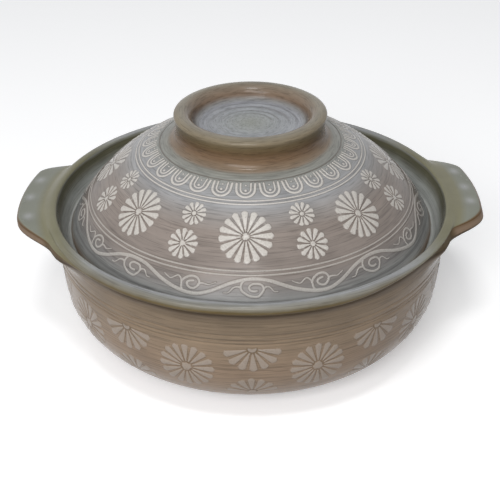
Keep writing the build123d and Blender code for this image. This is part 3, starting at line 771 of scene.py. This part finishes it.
# Ash glaze on the pot, thrown stoneware under a thin brushed slip. It shines softly and lets
# the brush marks show brown through it, lies grey-green where it is thick on lugs and rim, and
# breaks to ochre along the lip. Under the lip's overhang its brown is darkened as painted shade,
# and the lower gallery is lightened as painted light against the shade between lid and rim.
# Below, the bare clay is reddish and dull
pot_zones = [(at(pot, radius, height), code, rough) for radius, height, code, rough in (
    (0, foot_height, "#8a6c58", bare), (*heel, "#96604c", bare), (115, 13, "#a06a55", 0.75),
    (118.6, 16, "#b09a84", 0.3), (128.5, 28, "#a68f79", gloss), (*belly, "#9d8772", gloss),
    (135, rim_height - 34, "#98846e", gloss), (136.3, rim_height - 17, "#8d7b66", gloss),
    # painted shade: the underside of the lip, from below the neck out to the ochre edge, is
    # painted darker brown, darkest midway under the overhang; at the edge it meets the real ochre
    # break
    (136.8, rim_height - 12, "#7a6a58", 0.4), (138, rim_height - 9, "#56483a", 0.75),
    (139.6, rim_height - 7.4, "#4a3e2d", 0.75), (141.2, rim_height - 5.8, "#5f4c2a", 0.5),
    (rim_radius, rim_height - 4.6, "#6b5a34", gloss),
    (141.8, rim_height - 2.8, "#7f796a", gloss), (140, rim_height - 0.4, "#8b8a84", gloss),
    (137, rim_height, "#a3a5a8", gloss), (135.3, rim_height - 1.4, "#83837a", gloss),
    (134.4, rim_height - 4, "#57543f", 0.25), (133.3, rim_height - 7.5, "#6c6b5c", 0.25),
    # partly painted light: the lower gallery and the ledge are pale grey-green glaze, lightened
    # further to offset the shade of the deep groove between lid and rim
    (131, rim_height - 13, "#a5a8a4", 0.25), (127, seat_height, "#a8aaa6", 0.3),
    (121, seat_height, "#7d6a55", 0.7), (126, bowl_top, "#6e6a5c", 0.25),
    (0, floor_height, "#7a7564", 0.25))]
pot_glaze = glazed("Brown-grey ash glaze over brushed slip", pot["s"][-1], pot_zones,
                   "#a3968a", "#66543f",
                   ("#77745c", "#7b7860", "#7f8176", "#84705d", "#523c20", "#a0a1a0"))

# Ash glaze on the lid, thicker and greyer than the pot's. It shines softly, shows brush marks
# and pale slip through it, and runs thin and brown on the knob's waist
lid_zones = [(at(lid, radius, height), code, rough) for radius, height, code, rough in (
    (0, ceiling, "#6f6c5f", 0.3), (*inside[-1], "#75705f", 0.3),
    (lid_radius - 3, seat_height, "#8d7560", bare), (*lid_edge, "#7d6c5c", 0.5))]
lid_zones += [(dome_s(radius), code, gloss) for radius, code in (
    (124.5, "#92928f"), (122.9, "#90908f"), (122.4, "#656563"), (121.9, "#90908e"),
    (119, "#837f7c"), (113, "#8d837c"), (95, "#938880"), (86, "#98938f"), (79, "#a3a3a4"),
    (70, "#9d9d9d"), (62, "#979892"), (56, "#8f8e86"))]
lid_zones += [(at(lid, radius, knob_top - drop), code, gloss) for radius, drop, code in (
    (56, 21.45, "#8b8a82"), (54.4, 21.05, "#877868"), (52.2, 19.55, "#806e5b"),
    (50.6, 15.85, "#7a6149"), (50.2, 11.85, "#6c553c"), (51.2, 6.35, "#7a6a4f"),
    (50.5, 2.35, "#857a66"), (46, 1, "#8e8778"), (42, 2, "#86796a"), (38.5, 7, "#7f6a58"),
    (37, knob_top - knob_floor - 1, "#817f7c"), (34, knob_top - knob_floor, "#9d9fa4"),
    (20, knob_top - knob_floor, "#9c9fa1"), (0, knob_top - knob_floor, "#94978f"))]
lid_glaze = glazed("Grey ash glaze over brushed slip", lid["s"][-1], lid_zones,
                   "#c3beb7", "#564c43")

make_piece("pot_and_lugs", [pot_grid], pot_glaze, "pot",
           ["pot_body", "lug_handle_left", "lug_handle_right"])
make_piece("lid_and_knob", [lid_grid], lid_glaze, "lid",
           ["lid_shell", "lid_knob_ring"])

# Flowers of the lid: circle, reach, petals, boss, rows and columns to a petal, and the angle
# of each flower. Each is stamped with its own small turn
for name, circle, reach, count, boss, rows, fan, turns in (
        ("lid_large_flowers", 95.8, 17.0, 16, 2.2, 30, 9,
         (-138.8, -92.0, -44.6, 3.0, 46.5, 90.0, 133.0, 176.0)),
        ("lid_small_flowers_upper", 86.5, 8.3, 12, 1.6, 20, 8,
         (-158.0, -114.3, -68.5, -23.7, 24.5, 68.0, 111.5, 155.0)),
        ("lid_small_flowers_lower", 102.2, 10.2, 12, 1.9, 22, 8,
         (-160.4, -114.7, -68.1, -20.7, 24.0, 67.5, 111.0, 154.5))):
    make_piece(name, [flower(lid_shape, dome_s(circle), turn, reach * (1 + 0.02 * np.sin(turn)),
                             count, boss, np.pi / 2 + 0.16 * np.sin(3 * turn), rows=rows,
                             fan=fan) for turn in turns],
               lid_glaze, "lid", [name])


def laid(points, circle, turn, width, strength=1.0):
    """Stroke of slip on the dome along a flat path of x round and y up from a circle."""
    s, theta = unrolled(lid_shape, dome_s(circle), turn, points[:, 0], points[:, 1])
    return stroke(lid_shape, s, theta, width, strength)


# Arch band of the lid: double arches with two dots in each, open towards the knob
arch_inner, arch_circle, arch_outer = 62.9, 69.0, 75.1
arch_width, arch_line, inner_line, arch_gap = 13.3, 1.6, 1.2, 2.8
arch_dots = ((-0.3, 0.95), (3.7, 0.65))
arch_turn, arch_count = 10.1, 28


def arch(inset, line, rows):
    """U-shaped path of a line, some way inside the arch, in a flat drawing whose y runs up
    the slope from the band's circle: a half circle between two straight legs."""
    half = (arch_width - line) / 2 - inset
    low = arch_circle - arch_outer + inset + half + line / 2
    high = arch_circle - arch_inner - line / 2
    turn = np.linspace(np.pi, 2 * np.pi, rows)
    bowl = np.stack([half * np.cos(turn), low + half * np.sin(turn)], 1)
    leg = np.linspace(high, low, 9)[:-1]
    left = np.stack([-half + 0 * leg, leg], 1)
    right = np.stack([half + 0 * leg, leg[::-1]], 1)
    return laid(np.concatenate([left, bowl, right]), arch_circle, arch_turn, line)


def dot(y, radius):
    """Round spot of slip on the dome, in the drawing of an arch. The distance to its edge is
    that from its middle less its radius."""
    rho = np.concatenate([radius * np.array([0, 0.45, 0.8, 1, 1.12]),
                          [radius + 0.6, radius + patch_margin]])
    rho, alpha = np.meshgrid(rho, -np.radians(np.arange(0, 360, 22.5)), indexing="ij")
    values = slip_values(rho - radius, radius)
    s, theta = unrolled(lid_shape, dome_s(arch_circle), arch_turn, rho * np.cos(alpha),
                        y + rho * np.sin(alpha))
    return {"points": lifted(lid_shape, s, theta, values["lift"]), "wraps": True,
            "along": s, "slip": values["slip"], "pool": dot_pool * values["pool"]}


arches = [arch(0, arch_line, 17), arch(arch_gap, inner_line, 13)]
arches += [dot(height, radius) for height, radius in arch_dots]
make_piece("lid_arch_band", ring_of(arches, arch_count), lid_glaze, "lid",
           ["lid_arch_band"])

# Lines round the lid, above the flowers and fainter below them: radius, width and strength
for name, radii, width, strength in (("lid_ring_lines", (76.0, 78.2), 1.1, 1.0),
                                     ("lid_border_lines", (111.1, 112.8), 1.2, 0.55)):
    make_piece(name, [ring(radius, width, strength) for radius in radii],
               lid_glaze, "lid", [name])

# Scroll of the lid: one period of the vine from trough to trough, and the strokes of a
# standing and a hanging curl with the width at both ends, in mm round and up from the circle
scroll_circle, scroll_count, scroll_strength = 118.3, 9, 0.6
vine_turn, hanging_turn, standing_turn, vine_width = -109.2, -89.3, -108.6, 2.4
vine_path = smooth([
    (0, -4.3), (3, -4.4), (7, -4.0), (12, -2.4), (16, -0.8), (20, 1.2), (24, 3.1),
    (28, 4.7), (32, 5.8), (36, 6.6), (40, 6.9), (44, 6.8), (48, 6.3), (52, 5.3), (56, 3.8),
    (60, 2.1), (64, 0.4), (68, -1.0), (72, -2.2), (76, -3.2), (79.6, -3.9), (82.6, -4.3)])
standing = (
    ([(-18.2, 5.0), (-16.1, 3.6), (-13.5, 2.6), (-11.0, 4.0), (-9.0, 5.0), (-7.1, 3.8),
      (-6.1, 1.6), (-5.9, -1.2), (-5.1, -3.1)], 0.8, 1.5),
    ([(-6.1, 1.6), (-5.0, 3.4), (-2.4, 5.3), (0.4, 6.1), (3.1, 5.7), (4.8, 4.2), (5.4, 2.3),
      (4.5, 0.4), (2.3, -1.3), (-0.2, -1.2), (-2.2, 0.3), (-2.3, 1.9), (-0.8, 2.9),
      (1.4, 3.3)], 1.6, 1.5),
    ([(4.7, 1.4), (6.6, 2.7), (9.0, 2.6), (11.1, 2.3), (13.1, 3.1), (15.7, 4.7)], 1.5, 0.7))
hanging = (
    ([(-4.4, 6.9), (-6.4, 5.7), (-7.8, 3.8), (-8.1, 1.4), (-7.3, -0.5), (-5.3, -2.0),
      (-2.8, -3.4), (0.2, -3.9), (2.9, -3.6), (4.9, -1.4), (5.9, 0.5), (5.3, 2.7),
      (3.5, 3.7), (1.5, 3.9), (-0.8, 3.8), (-2.6, 2.6), (-3.0, 1.3), (-2.0, -0.1),
      (-0.1, -0.7), (1.8, -0.5)], 1.6, 1.5),
    ([(5.9, 0.5), (7.0, 1.8), (9.0, 2.1), (10.5, 1.1), (12.3, -0.8), (14.7, -0.8)], 1.5, 0.7),
    ([(-8.1, 1.8), (-10.3, 2.3), (-12.6, 1.8), (-14.5, 0.0), (-16.4, -1.3), (-18.7, -1.1)],
     1.5, 0.7))


def curl(strokes, turn):
    """Strokes of a curl at a turn, each narrowing or widening evenly from end to end."""
    paths = [(smooth(points), first, last) for points, first, last in strokes]
    return [laid(path, scroll_circle, turn, np.linspace(first, last, len(path)),
                 scroll_strength) for path, first, last in paths]


vine = stroke(lid_shape, dome_s(scroll_circle) + vine_path[:, 1],
              np.radians(vine_turn) + vine_path[:, 0] / scroll_circle, vine_width,
              scroll_strength)
scroll = [vine] + curl(hanging, hanging_turn) + curl(standing, standing_turn)
make_piece("lid_scroll", ring_of(scroll, scroll_count), lid_glaze, "lid",
           ["lid_scroll"])

# Flowers of the pot wall: middle, first angle, reach, petals, boss, angle of the first petal
# and petals shown of a half flower. Each is stamped with its own small turn
wall_flowers = 10
for name, middle, turn, reach, count, boss, first, shown in (
        ("pot_full_flowers", on_wall(45.6), -72, 18.2, 16, 3.2, np.pi / 2, None),
        ("pot_upper_half_flowers", on_wall(64.6), -90, 18.4, 14, 2.9, np.pi / 14 - np.pi, 7),
        ("pot_lower_half_flowers", (127.5, 25.2), -90, 16.6, 14, 2.7, np.pi / 14, 7)):
    make_piece(name, [flower(pot_shape, at(pot, *middle), turn + 360 / wall_flowers * k, reach,
                             count, boss, first + 0.05 * np.sin(2.3 * k + 1), shown)
                      for k in range(wall_flowers)], pot_glaze, "pot", [name])
